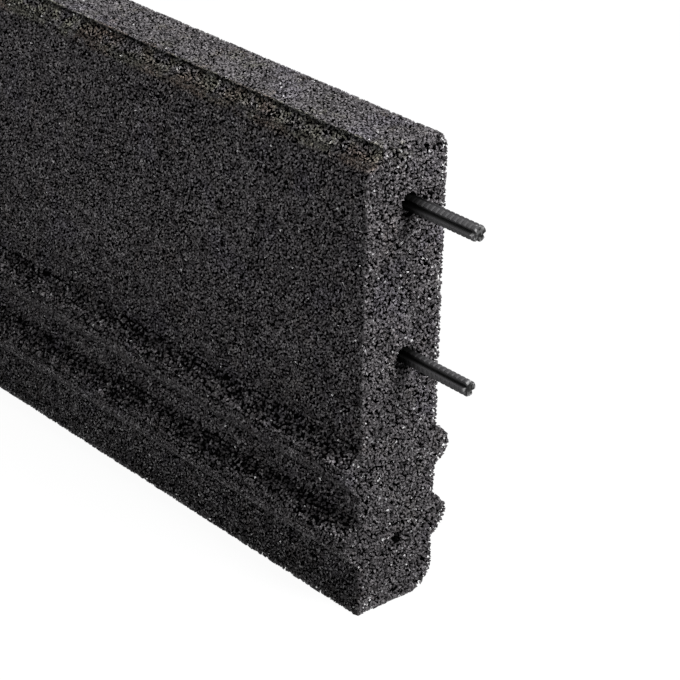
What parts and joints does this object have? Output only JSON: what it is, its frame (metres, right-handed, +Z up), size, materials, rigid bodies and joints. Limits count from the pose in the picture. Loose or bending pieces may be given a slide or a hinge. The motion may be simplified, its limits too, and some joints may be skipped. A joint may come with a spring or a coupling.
{
  "type": "rubber lawn edging kerb",
  "caption": "Straight kerb of bonded black rubber crumb with ribbed foot, a coved front and a blunt back top edge, end sockets and toothed cross-section connecting pins standing out of one end.",
  "frame": {"origin": "middle of the kerb's underside, on the ground it stands on", "axes": "+X along the kerb towards its pinned end, +Z up, -Y out of the broad face that the pins are further from"},
  "size_m": [1.046, 0.068, 0.25],
  "materials": {
    "rubber_crumb": "bonded granulate, matt with small glints",
    "pin_plastic": "moulded, slightly glossy black"
  },
  "bodies": {
    "root": {"kerb": "rubber_crumb", "lower_pin": "pin_plastic", "upper_pin": "pin_plastic"}
  },
  "joints": []
}
